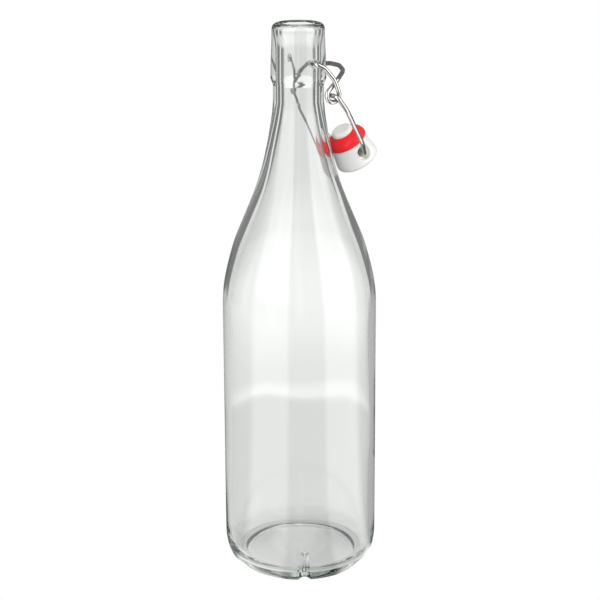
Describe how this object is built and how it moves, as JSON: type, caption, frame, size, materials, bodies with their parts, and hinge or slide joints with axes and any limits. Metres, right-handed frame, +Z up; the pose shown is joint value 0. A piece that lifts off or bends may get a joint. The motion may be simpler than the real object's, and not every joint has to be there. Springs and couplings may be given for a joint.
{
  "type": "growler",
  "caption": "Tall clear glass bottle with a long tapering neck, a wire bail and thumb lever, and a plastic stopper with a rubber gasket hanging open beside the neck.",
  "frame": {"origin": "On the bottle's axis, in the plane of the ring it stands on", "axes": "+Z up along the bottle's axis to the mouth, Y along the closure's pivot, +X towards the side where the open stopper hangs"},
  "size_m": [0.0949, 0.0888, 0.3163],
  "materials": {
    "clear_glass": "clear, polished, very slightly grey green where thick",
    "wire_steel": "bright drawn stainless wire",
    "white_plastic": "satin moulded white",
    "red_rubber": "matt moulded red"
  },
  "bodies": {
    "bottle": {"bottle_glass": "clear_glass"},
    "lever": {"lever_wire": "wire_steel"},
    "bail": {"bail_wire": "wire_steel"},
    "stopper": {"stopper_head": "white_plastic", "sealing_gasket": "red_rubber"}
  },
  "joints": [
    {"name": "lever_pivot", "type": "hinge", "parent": "bottle", "child": "lever", "pos_m": [0, 0, 0.2955], "axis": [0, 1, 0], "range_deg": [-50, 1.5]},
    {"name": "bail_pivot", "type": "hinge", "parent": "lever", "child": "bail", "pos_m": [0.0078, 0, 0.2784], "axis": [0, 1, 0], "range_deg": [-108, 1]},
    {"name": "stopper_swing", "type": "hinge", "parent": "bail", "child": "stopper", "pos_m": [0.03655, 0, 0.24134], "axis": [0, 1, 0], "range_deg": [-10, 18]}
  ]
}
